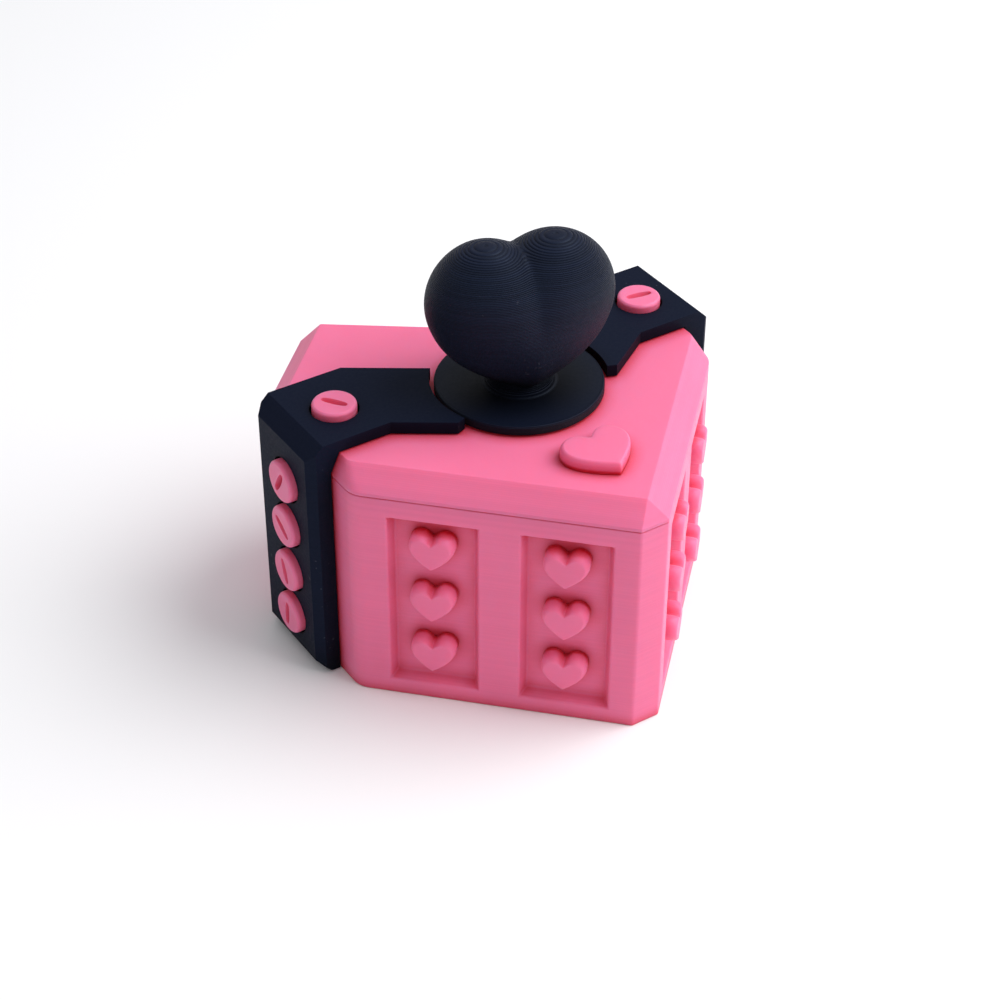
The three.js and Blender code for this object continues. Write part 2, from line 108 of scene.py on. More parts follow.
STRAP_FRONT = 9.2
STRAP_BACK = 10.8
COLUMN_THICK = 4.4
COLUMN_FOOT = 0.4
STRAP_BEVEL = 3.0
FOOT_BEVEL = 2.6
SIDE_BEVEL = 1.5
ARM_BEND = math.radians(33.3)
ARM_BEND_INSET = 12.7
ARM_BEND_SKEW = 0.65
ARM_FRONT_REACH = 12.0
ARM_BACK_REACH = 19.0
ARM_OVERLAP = 3.0
STRAP_EDGE = 0.45

HEAD_RADIUS = 4.1
HEAD_HEIGHT = 2.6
HEAD_PROUD = 1.4
HEAD_EDGE = 0.7
HEAD_FOOT_EDGE = 0.25
HEAD_EDGE_STEPS = 6
BOLT_EDGE = 0.15
SHANK_RADIUS = 2.8
SHANK_LENGTH = 8.4
TOP_SHANK_LENGTH = 5.4
THREAD_PITCH = 1.6
THREAD_DEPTH = 0.5
THREAD_STEPS = 40  # points round the shank
THREAD_ROWS = 10  # rows of points to the millimetre
THREAD_TIP_FADE = 1.2
THREAD_HEAD_FADE = 0.8
SHANK_OVERLAP = 0.4
COUNTERBORE_RADIUS = 4.5
HEAD_STEPS = 72  # points round a head and its counterbore
SHANK_HOLE_STEPS = 40
SLOT_HALF = 2.6
SLOT_HALF_WIDTH = 0.75
SLOT_DEPTH = 1.4
SLOT_STEPS = 32
SLOT_SQUARENESS = 0.6  # 1 is an ellipse, less is squarer
SLOT_FLOOR = (0.85, 0.5)  # length and width of a slot's floor, as shares of its mouth
BOLT_HEIGHTS = (40.0, 29.9, 19.7, 9.7)
TOP_BOLT_INSET = 5.9
SLOT_ANGLES = {"left": (59, -35, -73, -95), "right": (20, 75, -50, 8)}
TOP_SLOT_ANGLES = {"left": -10, "right": 35}

KNOB_CENTRE = 32.2
FLANGE_RADIUS = 15.6
FLANGE_THICK = 2.0
FLANGE_FOOT_EDGE = 0.3
FLANGE_EDGE = 0.45
FLANGE_EDGE_MIDDLE = 0.13
ARC_CLEARANCE = 0.9
KNOB_HEART_WIDTH = 35.1
KNOB_HEART_DEPTH = 23.0
KNOB_HEART_HEIGHT = 29.3
KNOB_HEART_SINK = 0.2
HEART_FLATTEN = 9 / 4  # weight of the short axis in the heart surface
HEART_NOTCH = 0.003  # softens the saddle between the lobes
HEART_DRAW = 1.6  # draws the tops of the lobes together
HEART_TAPER = 0.62  # fills out the lower half
HEART_SEARCH = (0.3, 2.0)  # radii between which the unit heart's surface lies
HEART_HALVINGS = 26
KNOB_NECK_RADIUS = 5.6
KNOB_NECK_HEIGHT = 4.0
KNOB_FLARE = 1.6
KNOB_FLARE_STEPS = 8
KNOB_TURN = math.radians(31.5)
KNOB_SHANK_RADIUS = 5.0
KNOB_SHANK_REACH = 9.0
KNOB_SHANK_BEVEL = 1.0
KNOB_STEPS = 160

FACET_OFFSET = STRAIGHT / math.sqrt(2)
FACET_MIDDLE = -SPAN / math.sqrt(2)
COLUMN_FACE = FACET_OFFSET + GAP + COLUMN_THICK

# ---- camera and light, in metres -----------------------------------------------------------------

CAMERA_PLACE = POINT + Vector((35.9, -310.0, 284.3)) * MM
CAMERA_YAW = 0.2062
CAMERA_PITCH = 0.6418
CAMERA_ROLL = 0.0047
CAMERA_FOCAL = 2.300  # in picture widths
SENSOR_WIDTH = 36.0
KEY_PLACE = (0.5, 0.12, 0.62)
KEY_AIM = (0.0, 0.0, 0.03)
KEY_SIZE = 0.8
KEY_POWER = 6.3
WORLD_LEAN = (0.25, 0.15, 0.95)  # towards the brightest part of the room
WORLD_REACH = (-0.5, 0.8)  # parts of that direction at which the room is darkest and brightest
WORLD_DARK = (0.12, 0.035, 0.045, 1)
WORLD_BRIGHT = (0.96, 0.98, 1.0, 1)
WORLD_STRENGTH = 0.72
FLOOR_SIZE = 4.0
FLOOR_COLOUR = (0.93, 0.93, 0.94, 1)
FLOOR_ROUGHNESS = 0.9


def add_camera():
    data = bpy.data.cameras.new("camera")
    data.sensor_width = SENSOR_WIDTH
    data.lens = CAMERA_FOCAL * data.sensor_width
    camera = bpy.data.objects.new("camera", data)
    bpy.context.scene.collection.objects.link(camera)
    turn = Euler((math.pi / 2 - CAMERA_PITCH, 0.0, CAMERA_YAW), "XYZ").to_matrix().to_4x4()
    roll = Matrix.Rotation(CAMERA_ROLL, 4, "Z")
    camera.matrix_world = Matrix.Translation(CAMERA_PLACE) @ turn @ roll
    bpy.context.scene.camera = camera


def add_key_light():
    data = bpy.data.lights.new("key", "AREA")
    data.shape = "DISK"
    data.size = KEY_SIZE
    data.energy = KEY_POWER
    light = bpy.data.objects.new("key", data)
    bpy.context.scene.collection.objects.link(light)
    light.location = KEY_PLACE
    light.rotation_euler = (Vector(KEY_AIM) - Vector(KEY_PLACE)).to_track_quat("-Z", "Y").to_euler()


def studio_world():
    """A soft room: bright and cool overhead, falling off to dim and warm below, most of all in front."""
    world = bpy.data.worlds.new("studio")
    world.use_nodes = True
    tree = world.node_tree
    coordinate = tree.nodes.new("ShaderNodeTexCoord")
    lean = tree.nodes.new("ShaderNodeVectorMath")
    lean.operation = "DOT_PRODUCT"
    lean.inputs[1].default_value = WORLD_LEAN
    ramp = tree.nodes.new("ShaderNodeValToRGB")
    ramp.color_ramp.elements[0].color = WORLD_DARK
    ramp.color_ramp.elements[1].color = WORLD_BRIGHT
    spread = tree.nodes.new("ShaderNodeMapRange")
    spread.inputs["From Min"].default_value, spread.inputs["From Max"].default_value = WORLD_REACH
    tree.links.new(coordinate.outputs["Generated"], lean.inputs[0])
    tree.links.new(lean.outputs["Value"], spread.inputs["Value"])
    tree.links.new(spread.outputs["Result"], ramp.inputs["Fac"])
    tree.links.new(ramp.outputs["Color"], tree.nodes["Background"].inputs["Color"])
    tree.nodes["Background"].inputs["Strength"].default_value = WORLD_STRENGTH
    return world


def add_stage():
    bm = bmesh.new()
    bmesh.ops.create_grid(bm, x_segments=1, y_segments=1, size=FLOOR_SIZE)
    mesh = bpy.data.meshes.new("floor")
    bm.to_mesh(mesh)
    bm.free()
    floor = bpy.data.objects.new("floor", mesh)
    bpy.context.scene.collection.objects.link(floor)
    material = bpy.data.materials.new("floor")
    material.use_nodes = True
    shader = material.node_tree.nodes["Principled BSDF"]
    shader.inputs["Base Color"].default_value = FLOOR_COLOUR
    shader.inputs["Roughness"].default_value = FLOOR_ROUGHNESS
    floor.data.materials.append(material)
    bpy.context.scene.world = studio_world()
    add_key_light()
    bpy.context.scene.view_settings.view_transform = "Standard"


add_camera()
add_stage()

# ---- materials -----------------------------------------------------------------------------------


class Nodes:
    """Adds shader nodes to one new material and links them."""

    def __init__(self, name):
        self.material = bpy.data.materials.new(name)
        self.material.use_nodes = True
        self.tree = self.material.node_tree
        self.shader = self.tree.nodes["Principled BSDF"]

    def add(self, kind, **settings):
        node = self.tree.nodes.new(kind)
        for key, value in settings.items():
            setattr(node, key, value)
        return node

    def wire(self, source, target):
        self.tree.links.new(source, target)

    def math(self, operation, first, second=None):
        node = self.add("ShaderNodeMath", operation=operation)
        for value, socket in zip((first, second), node.inputs):
            if isinstance(value, (int, float)):
                socket.default_value = value
            elif value is not None:
                self.wire(value, socket)
        return node.outputs[0]

    def product(self, first, second, third):
        return self.math("MULTIPLY", self.math("MULTIPLY", first, second), third)

    def dot(self, vector, direction):
        node = self.add("ShaderNodeVectorMath", operation="DOT_PRODUCT")
        self.wire(vector, node.inputs[0])
        node.inputs[1].default_value = direction
        return node.outputs["Value"]

    def ramp(self, value, low, high, to_low, to_high):
        node = self.add("ShaderNodeMapRange")
        self.wire(value, node.inputs["Value"])
        for key, number in zip(("From Min", "From Max", "To Min", "To Max"), (low, high, to_low, to_high)):
            node.inputs[key].default_value = number
        return node.outputs["Result"]

    def noise(self, vector, scale, detail, roughness=0.5):
        node = self.add("ShaderNodeTexNoise")
        node.inputs["Scale"].default_value = scale
        node.inputs["Detail"].default_value = detail
        node.inputs["Roughness"].default_value = roughness
        self.wire(vector, node.inputs["Vector"])
        return node.outputs["Fac"]

    def mix(self, amount, source, colour):
        node = self.add("ShaderNodeMix", data_type="RGBA")
        self.wire(amount, node.inputs["Factor"])
        self.wire(source, node.inputs["A"])
        node.inputs["B"].default_value = colour
        return node.outputs["Result"]


PINK = (0.89, 0.185, 0.345)
BOLT_PINK = (0.86, 0.19, 0.35)
BLACK = (0.0046, 0.0074, 0.0205)
SPECK = (0.5, 0.52, 0.56, 1)
SHEEN = (0.6, 0.75, 1.0, 1)  # tint of the faint highlights
SCATTER_RADIUS = (1.0, 0.28, 0.22)
SCATTER_REACH = 2.6

# Painted shade in the hollows of each plastic: the colour it deepens to, over how many millimetres, and how
# far.
PINK_PAINTED_SHADE = ((0.72, 0.035, 0.055, 1), 3.0, 0.95)
BOLT_PAINTED_SHADE = ((0.72, 0.035, 0.055, 1), 3.0, 0.45)
BLACK_PAINTED_SHADE = ((0.001, 0.001, 0.0016, 1), 9.0, 0.9)
PAINTED_SHADE_FROM, PAINTED_SHADE_TO = 0.42, 0.96  # openness at which the painted shade is deepest and where it ends
PAINTED_SHADE_SAMPLES = 6

# Sizes in the printed surface, in millimetres.
LAYER = 0.27  # height of one printed layer
LAYER_WANDER = 0.05  # how far a layer strays, as a share of its height
LAYER_OFFSET = 0.5  # how far one layer stands proud of another, as a share of the groove's depth
RASTER = 0.42  # width of one printed line in a flat top skin
RASTER_DEPTH = 0.004
GRAIN_DEPTH = 0.004
DRIFT = 0.03  # slow change of colour over a piece
ROUGHNESS_SPREAD = 0.05

# Scales of the noises, per metre.
WANDER_SCALE = 60.0
GRAIN_SCALE = 1900.0
DRIFT_SCALE = 45.0
DUST_SCALE = 1400.0
DUST_PATCH_SCALE = 90.0
DUST_FROM, DUST_TO = 0.50, 0.56  # noise at which a speck begins and is full


def printed_plastic(
    name, colour, axis, painted_shade, *, roughness, scatter, groove, banding, gloss, specks=0.0, flat_from=0.96
):
    """Fused-filament plastic: layers stacked along `axis`, raster lines on faces square to it.

    `groove` is the depth between layers in millimetres, `banding` the change of colour from layer to layer,
    and `flat_from` how square a face is to `axis` where the raster lines take over from the layers.
    """
    made = Nodes(name)
    coordinate = made.add("ShaderNodeTexCoord")
    place, normal = coordinate.outputs["Object"], coordinate.outputs["Normal"]
    wander = made.noise(place, WANDER_SCALE, 2.0)
    wavy = made.math("ADD", made.dot(place, axis), made.math("MULTIPLY", wander, LAYER_WANDER * LAYER * MM))
    layers = made.math("MULTIPLY", wavy, 1.0 / (LAYER * MM))
    # Rounded bead of each layer, deepest at the joint between two layers.
    bead = made.math("SINE", made.math("MULTIPLY", made.math("FRACT", layers), math.pi))
    chance = made.add("ShaderNodeTexWhiteNoise", noise_dimensions="1D")
    made.wire(made.math("FLOOR", layers), chance.inputs["W"])
    squareness = made.math("ABSOLUTE", made.dot(normal, axis))
    flat = made.ramp(squareness, flat_from, 0.4 * flat_from + 0.6, 0.0, 1.0)
    steep = made.math("SUBTRACT", 1.0, flat)
    # Raster lines: parallel beads of the top skin, turned 45 degrees.
    cross = Vector(axis).orthogonal().normalized()
    diagonal = (cross + Vector(axis).cross(cross)).normalized()
    line = made.math("FRACT", made.math("MULTIPLY", made.dot(place, diagonal), 1.0 / (RASTER * MM)))
    skin = made.math("SINE", made.math("MULTIPLY", line, math.pi))
    grain = made.noise(place, GRAIN_SCALE, 2.0, 0.6)
    height = made.product(bead, steep, groove * MM)
    offset = made.product(chance.outputs["Value"], steep, LAYER_OFFSET * groove * MM)
    lines = made.product(skin, flat, RASTER_DEPTH * MM)
    rough = made.math("MULTIPLY", grain, GRAIN_DEPTH * MM)
    bump = made.add("ShaderNodeBump")
    bump.inputs["Strength"].default_value = 1.0
    bump.inputs["Distance"].default_value = 1.0
    total = made.math("ADD", made.math("ADD", height, offset), made.math("ADD", lines, rough))
    made.wire(total, bump.inputs["Height"])
    made.wire(bump.outputs["Normal"], made.shader.inputs["Normal"])
    # Colour: slow drift over the piece, a small step from layer to layer, darker in the joints.
    drift = made.ramp(made.noise(place, DRIFT_SCALE, 3.0), 0.3, 0.7, 1.0 - DRIFT, 1.0 + DRIFT)
    layer_chance = made.math("MULTIPLY", chance.outputs["Value"], steep)
    step = made.ramp(layer_chance, 0.0, 1.0, 1.0 - banding, 1.0 + banding)
    joint = made.ramp(made.math("ADD", bead, flat), 0.0, 0.5, 1.0 - 2.0 * banding, 1.0)
    tint = made.add("ShaderNodeVectorMath", operation="SCALE")
    tint.inputs[0].default_value = colour
    made.wire(made.product(drift, step, joint), tint.inputs["Scale"])
    source = tint.outputs["Vector"]
    if specks:
        dust = made.noise(place, DUST_SCALE, 0.0)
        patch = made.noise(place, DUST_PATCH_SCALE, 1.0)
        spot = made.ramp(made.math("MULTIPLY", dust, patch), DUST_FROM, DUST_TO, 0.0, specks)
        source = made.mix(spot, source, SPECK)
    # Painted shade: sheltered places are mixed towards a deep red on the pinks and towards black on the
    # black, standing in for shade and for light passed on from wall to wall.
    painted_shade_colour, distance, amount = painted_shade
    shade_occlusion = made.add("ShaderNodeAmbientOcclusion", samples=PAINTED_SHADE_SAMPLES)
    shade_occlusion.inputs["Distance"].default_value = distance * MM
    painted_shade_amount = made.ramp(shade_occlusion.outputs["AO"], PAINTED_SHADE_FROM, PAINTED_SHADE_TO, amount, 0.0)
    made.wire(made.mix(painted_shade_amount, source, painted_shade_colour), made.shader.inputs["Base Color"])
    spread = made.ramp(grain, 0.3, 0.7, roughness - ROUGHNESS_SPREAD, roughness + ROUGHNESS_SPREAD)
    made.wire(spread, made.shader.inputs["Roughness"])
    made.shader.inputs["Subsurface Weight"].default_value = scatter
    made.shader.inputs["Subsurface Radius"].default_value = SCATTER_RADIUS
    made.shader.inputs["Subsurface Scale"].default_value = SCATTER_REACH * MM
    made.shader.inputs["Specular IOR Level"].default_value = gloss
    made.shader.inputs["Specular Tint"].default_value = SHEEN
    return made.material


UPRIGHT = (0.0, 0.0, 1.0)
OUTWARD = {side: tuple(Vector((sign, sign, 0)).normalized()) for side, sign in (("left", -1), ("right", 1))}

pink_case = printed_plastic(
    "pink_case",
    PINK,
    UPRIGHT,
    PINK_PAINTED_SHADE,
    roughness=0.48,
    scatter=0.55,
    groove=0.012,
    banding=0.02,
    gloss=0.4,
)
pink_stud = printed_plastic(
    "pink_stud",
    PINK,
    UPRIGHT,
    PINK_PAINTED_SHADE,
    roughness=0.46,
    scatter=0.6,
    groove=0.005,
    banding=0.01,
    gloss=0.4,
)
black_strap = printed_plastic(
    "black_strap",
    BLACK,
    UPRIGHT,
    BLACK_PAINTED_SHADE,
    roughness=0.6,
    scatter=0.0,
    groove=0.012,
    banding=0.05,
    gloss=0.09,
    specks=0.08,
)
black_knob = printed_plastic(
    "black_knob",
    BLACK,
    UPRIGHT,
    BLACK_PAINTED_SHADE,
    roughness=0.5,
    scatter=0.0,
    groove=0.14,
    banding=0.17,
    gloss=0.17,
    specks=0.05,
    flat_from=0.999,
)
bolt_materials = {
    side: printed_plastic(
        f"pink_bolt_{side}",
        BOLT_PINK,
        axis,
        BOLT_PAINTED_SHADE,
        roughness=0.45,
        scatter=0.5,
        groove=0.012,
        banding=0.02,
        gloss=0.4,
    )
    for side, axis in (("top", UPRIGHT), *OUTWARD.items())
}

# ---- mesh helpers, all in millimetres until `deliver` --------------------------------------------


def new_object(name, bm):
    bmesh.ops.recalc_face_normals(bm, faces=bm.faces)
    mesh = bpy.data.meshes.new(name)
    bm.to_mesh(mesh)
    bm.free()
    made = bpy.data.objects.new(name, mesh)
    bpy.context.scene.collection.objects.link(made)
    return made


def loft(name, rings):
    """A closed skin through rings of (points, height); repeated points in a ring are merged."""
    bm = bmesh.new()
    rows = [[bm.verts.new((p.x, p.y, height)) for p in points] for points, height in rings]
    count = len(rows[0])
    for lower, upper in zip(rows, rows[1:]):
        for i in range(count):
            j = (i + 1) % count
            bm.faces.new((lower[i], lower[j], upper[j], upper[i]))
    bm.faces.new(rows[0][::-1])
    bm.faces.new(rows[-1])
    bmesh.ops.remove_doubles(bm, verts=bm.verts, dist=WELD)
    return new_object(name, bm)


def prism(name, points, low, high):
    return loft(name, [(points, low), (points, high)])


def circle(radius, steps, centre=(0.0, 0.0)):
    turn = 2 * math.pi / steps
    return [
        Vector((centre[0] + radius * math.cos(i * turn), centre[1] + radius * math.sin(i * turn)))
        for i in range(steps)
    ]


def lathe(name, profile, steps):
    """Turns (radius, height) points about Z; the first and last points lie on the axis."""
    bm = bmesh.new()
    first = bm.verts.new((0, 0, profile[0][1]))
    last = bm.verts.new((0, 0, profile[-1][1]))
    rows = []
    for radius, height in profile[1:-1]:
        rows.append([bm.verts.new((p.x, p.y, height)) for p in circle(radius, steps)])
    for i in range(steps):
        j = (i + 1) % steps
        bm.faces.new((first, rows[0][j], rows[0][i]))
        bm.faces.new((last, rows[-1][i], rows[-1][j]))
        for lower, upper in zip(rows, rows[1:]):
            bm.faces.new((lower[i], lower[j], upper[j], upper[i]))
    return new_object(name, bm)


def settle(obj):
    """Applies the modifiers of an object to its own mesh."""
    graph = bpy.context.evaluated_depsgraph_get()
    mesh = bpy.data.meshes.new_from_object(obj.evaluated_get(graph))
    obj.modifiers.clear()
    obj.data = mesh


def combine(target, other, operation):
    """Boolean of two solids; `other` is used up."""
    modifier = target.modifiers.new("cut", "BOOLEAN")
    modifier.operation = operation
    modifier.solver = "EXACT"
    modifier.object = other
    bpy.context.view_layer.update()
    settle(target)
    bpy.data.objects.remove(other)
    return target


def cut(target, *others):
    """Cuts several separate tools away in one go; the tools are used up."""
    bm = bmesh.new()
    for other in others:
        bm.from_mesh(other.data)
        bpy.data.objects.remove(other)
    return combine(target, new_object("tools", bm), "DIFFERENCE")


def tidy(obj):
    """Joins split flat faces again and welds the seams that booleans leave."""
    bm = bmesh.new()
    bm.from_mesh(obj.data)
    bmesh.ops.remove_doubles(bm, verts=bm.verts, dist=SEAM_WELD)
    bmesh.ops.dissolve_limit(bm, angle_limit=FLAT_ANGLE, verts=bm.verts, edges=bm.edges)
    bm.to_mesh(obj.data)
    bm.free()
    return obj


def deliver(obj, material, node, body, matrix=Matrix.Identity(4), round_edge=0.0, steps=3, angle=30.0):
    obj.data.transform(TO_ROW @ matrix)
    if round_edge:
        bevel = obj.modifiers.new("edges", "BEVEL")
        bevel.width = round_edge * MM
        bevel.segments = steps
        bevel.limit_method = "ANGLE"
        bevel.angle_limit = math.radians(angle)
        bevel.use_clamp_overlap = True
        bevel.harden_normals = True
    for polygon in obj.data.polygons:
        polygon.use_smooth = True
    smooth = obj.modifiers.new("normals", "WEIGHTED_NORMAL")
    smooth.keep_sharp = True
    smooth.weight = 80
    obj.data.materials.clear()
    obj.data.materials.append(material)
    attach(obj, body)
    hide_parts(node)


# ---- outlines ------------------------------------------------------------------------------------


def mirrored(p):
    """Across the line from the heart's point to its cleft."""
    return Vector((-p.y, -p.x))


def cross2(a, b):
    return a.x * b.y - a.y * b.x


def inset(points, distances):
    """Moves each edge inwards by its own distance and returns the new corners."""
    count = len(points)
    lines = []
    for i, p in enumerate(points):
        along = (points[(i + 1) % count] - p).normalized()
        lines.append((p + Vector((-along.y, along.x)) * distances[i], along))
    corners = []
    for i in range(count):
        (start, along), (after, onward) = lines[i - 1], lines[i]
        corners.append(start + along * (cross2(after - start, onward) / cross2(along, onward)))
    return corners


def softened(points, setbacks, steps):
    """Cuts (one step) or rounds each corner; no steps leaves it sharp."""
    made = []
    for i, p in enumerate(points):
        if steps[i] == 0:
            made.append(p)
            continue
        start = p + (points[i - 1] - p).normalized() * setbacks[i]
        end = p + (points[(i + 1) % len(points)] - p).normalized() * setbacks[i]
        for k in range(steps[i] + 1):
            t = k / steps[i]
            made.append(start * (1 - t) ** 2 + p * 2 * t * (1 - t) + end * t**2)
    return made


def at_corners(point, straight_end, facet_end, lobe, cleft):
    """One value for each corner, from the point round to the cleft and back again."""
    return [point, straight_end, facet_end, lobe, cleft, lobe, facet_end, straight_end]


def along_edges(plain, facet):
    """One value for each edge, with its own value for the two facets under the straps."""
    return [facet if i in (1, 6) else plain for i in range(8)]


left_half = [Vector((-SPAN, LOBE_END)), Vector((-SPAN, SPAN - STRAIGHT)), Vector((-STRAIGHT, 0.0))]
sharp_outline = [
    Vector((0.0, 0.0)),
    *[mirrored(p) for p in reversed(left_half)],
    Vector((-CLEFT, CLEFT)),
    *left_half,
]
corner_steps = at_corners(1, FILLET_STEPS, FILLET_STEPS, 1, 0)
wall_setbacks = at_corners(CORNER_LEG, FACET_SETBACK, FACET_SETBACK, CORNER_LEG, 0.0)
wall_outline = softened(sharp_outline, wall_setbacks, corner_steps)
crease_outline = softened(
    inset(sharp_outline, along_edges(CHAMFER_IN, FACET_CHAMFER_IN)),
    at_corners(0.0, CREASE_SETBACK, CREASE_SETBACK, 0.0, 0.0),
    corner_steps,
)
cavity_outline = inset(sharp_outline, along_edges(WALL, BOLT_CORNER))
plug_outline = inset(cavity_outline, [PLUG_CLEARANCE] * 8)


def heart_outline(width):
    """A heart of the given width, point down, centred on its own box."""
    half = width / 2
    right = [
        ((0.0, -0.86), (0.16, -0.74), (1.0, -0.2), (1.0, 0.3)),
        ((1.0, 0.3), (1.0, 0.66), (0.76, 0.86), (0.5, 0.86)),
        ((0.5, 0.86), (0.24, 0.86), (0.13, 0.61), (0.0, 0.57)),
    ]
    points = []
    for controls in right:
        a, b, c, d = (Vector(p) * half for p in controls)
        for k in range(HEART_STEPS):
            t = k / HEART_STEPS
            s = 1 - t
            points.append(a * s**3 + b * 3 * s * s * t + c * 3 * s * t * t + d * t**3)
    top = Vector((0.0, 0.57)) * half
    return points + [top] + [Vector((-p.x, p.y)) for p in reversed(points[1:])]


# ---- frames for placing things -------------------------------------------------------------------

WALLS = {
    "front": (Vector((-1, 0, 0)), Vector((0, -1, 0))),
    "side": (Vector((0, 1, 0)), Vector((1, 0, 0))),
}
LOBES = {"left": -1, "right": 1}


def basis(x_axis, y_axis, z_axis, place):
    matrix = Matrix((x_axis, y_axis, z_axis)).transposed().to_4x4()
    matrix.translation = place
    return matrix


def on_wall(wall, distance, height, outset):
    """Local X runs across the wall, Y up and Z outwards."""
    along, outward = WALLS[wall]
    place = along * distance + outward * outset + Vector((0, 0, height))
    return basis(Vector((0, 0, 1)).cross(outward), Vector((0, 0, 1)), outward, place)


def column_bolt(sign, height, angle=0.0):
    seat = COLUMN_FACE + HEAD_PROUD - HEAD_HEIGHT
    place = Vector((FACET_MIDDLE, sign * seat, height))
    facing = basis(Vector((-sign, 0, 0)), Vector((0, 0, 1)), Vector((0, sign, 0)), place)
    return HEART_TURN @ facing @ Matrix.Rotation(math.radians(angle), 4, "Z")


def top_bolt(sign, angle=0.0):
    across = sign * (FACET_OFFSET - TOP_BOLT_INSET)
    place = Vector((FACET_MIDDLE, across, STRAP_TOP + HEAD_PROUD - HEAD_HEIGHT))
    turn = Matrix.Rotation(math.radians(angle) + math.pi / 4, 4, "Z")
    return HEART_TURN @ Matrix.Translation(place) @ turn


def bolt_places(sign):
    return [column_bolt(sign, height) for height in BOLT_HEIGHTS] + [top_bolt(sign)]


def moved(obj, matrix):
    obj.data.transform(matrix)
    return obj


# ---- case ----------------------------------------------------------------------------------------


def panel_recess():
    """A recess with leaning sides, its local floor below the wall at local z = 0."""

    def rectangle(grow):
        x, y = PANEL_WIDTH / 2 + grow, (PANEL_HIGH - PANEL_LOW) / 2 + grow
        return [Vector((-x, -y)), Vector((x, -y)), Vector((x, y)), Vector((-x, y))]

    return loft("recess", [(rectangle(-PANEL_SLOPE), -PANEL_DEPTH), (rectangle(PANEL_SLOPE), PANEL_DEPTH)])


def peg_hole():
    return prism("peg_hole", circle(PEG_RADIUS + GAP, 24), -PEG_LENGTH - 2 * GAP, OVERCUT)


def build_body():
    shell = prism("case_shell", wall_outline, 0.0, BODY_TOP)
    cut(shell, prism("cavity", cavity_outline, FLOOR, BODY_TOP + OVERCUT))
    recesses, holes = [], []
    for wall in WALLS:
        for centre in PANEL_CENTRES:
            recesses.append(moved(panel_recess(), on_wall(wall, centre, (PANEL_LOW + PANEL_HIGH) / 2, 0.0)))
            for height in STUD_HEIGHTS:
                holes.append(moved(peg_hole(), on_wall(wall, centre, height, -PANEL_DEPTH)))
    shank_room = circle(SHANK_RADIUS + GAP, SHANK_HOLE_STEPS)
    for sign in LOBES.values():
        for height in BOLT_HEIGHTS:
            hole = prism("hole", shank_room, -SHANK_LENGTH - GAP, HEAD_HEIGHT)
            holes.append(moved(hole, column_bolt(sign, height)))
    cut(shell, *recesses)
    cut(shell, *holes)
    deliver(tidy(shell), pink_case, "box_body", "case", round_edge=CASE_EDGE)


def build_lid():
    chamfer_low = HEIGHT - CHAMFER_DOWN
    bottom = BODY_TOP + SEAM
    plate = loft("lid_plate", [(wall_outline, bottom), (wall_outline, chamfer_low), (crease_outline, HEIGHT)])
    combine(plate, prism("plug", plug_outline, lid_low.z / MM, bottom + PLUG_OVERLAP), "UNION")
    knob_room = circle(KNOB_SHANK_RADIUS + GAP, 64, (-KNOB_CENTRE, KNOB_CENTRE))
    holes = [
        prism("knob_hole", knob_room, 0.0, HEIGHT + OVERCUT),
        moved(peg_hole(), Matrix.Translation((-LID_HEART_PLACE, LID_HEART_PLACE, HEIGHT))),
    ]
    for sign in LOBES.values():
        hole = prism("hole", circle(SHANK_RADIUS + GAP, SHANK_HOLE_STEPS), -SHANK_LENGTH, HEAD_HEIGHT)
        holes.append(moved(hole, top_bolt(sign)))
    cut(plate, *holes)
    deliver(tidy(plate), pink_case, "lid", "case", round_edge=CASE_EDGE, angle=20.0)


def raised_heart(name, width, thickness, edge, lean, base=0.0):
    """A pillow-edged heart on its locating peg, one closed skin of rings."""
    outline = heart_outline(width)
    peg = [p.normalized() * PEG_RADIUS for p in outline]
    rings = [(peg, -PEG_LENGTH), (peg, base), (outline, base), (outline, (thickness - edge) / 2)]
    for k in range(HEART_EDGE_STEPS + 1):
        turn = math.pi / 2 * k / HEART_EDGE_STEPS
        scale = 1 - lean * (1 - math.cos(turn))
        rings.append(([p * scale for p in outline], thickness - HEART_CROWN - edge * (1 - math.sin(turn))))
    for scale in (0.75, 0.45, 0.15):
        rings.append(([p * scale * (1 - lean) for p in outline], thickness - HEART_CROWN * scale))
    return loft(name, rings)


def build_hearts():
    for wall in WALLS:
        for column, centre in enumerate(PANEL_CENTRES, 1):
            for row, height in enumerate(STUD_HEIGHTS, 1):
                node = f"stud_{wall}_{column}_{row}"
                thickness = PANEL_DEPTH + STUD_PROUD - GAP
                stud = raised_heart(f"{node}_print", STUD_WIDTH, thickness, STUD_EDGE, STUD_LEAN)
                place = on_wall(wall, centre, height, GAP - PANEL_DEPTH)
                deliver(stud, pink_stud, node, "case", place)
    plaque = raised_heart(
        "lid_heart_print", LID_HEART_WIDTH, LID_HEART_THICK, LID_HEART_EDGE, LID_HEART_LEAN, -GAP / 2
    )
    turn = Matrix.Rotation(math.pi / 4, 4, "Z")
    place = Matrix.Translation((-LID_HEART_PLACE, LID_HEART_PLACE, HEIGHT + GAP)) @ turn
    deliver(plaque, pink_stud, "lid_heart", "case", place)


# ---- straps --------------------------------------------------------------------------------------


